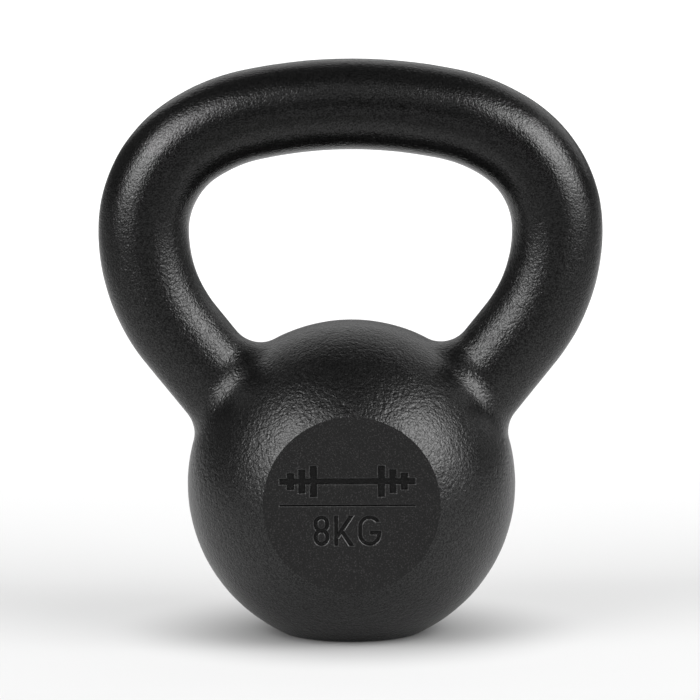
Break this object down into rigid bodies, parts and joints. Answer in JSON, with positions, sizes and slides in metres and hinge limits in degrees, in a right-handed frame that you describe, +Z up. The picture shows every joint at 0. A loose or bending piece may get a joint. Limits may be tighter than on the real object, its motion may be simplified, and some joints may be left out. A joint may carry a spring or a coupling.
{
  "type": "kettlebell",
  "caption": "Kettlebell: round iron ball with a flat base and flat marked face, and a thick looped handle set into its top.",
  "frame": {"origin": "middle of the flat base, straight under the ball's centre and the middle of the grip", "axes": "+Z up through the ball's centre and the middle of the grip, +X along the grip to the right as the marked face is read, -Y out of the marked face"},
  "size_m": [0.1818, 0.1091, 0.2086],
  "materials": {
    "bell_coat": "satin",
    "handle_coat": "satin",
    "fillet_coat": "satin",
    "disc_coat": "satin"
  },
  "bodies": {
    "root": {"bell": "bell_coat", "handle": "handle_coat", "left_root_fillet": "fillet_coat", "right_root_fillet": "fillet_coat", "marking_disc": "disc_coat"}
  },
  "joints": []
}
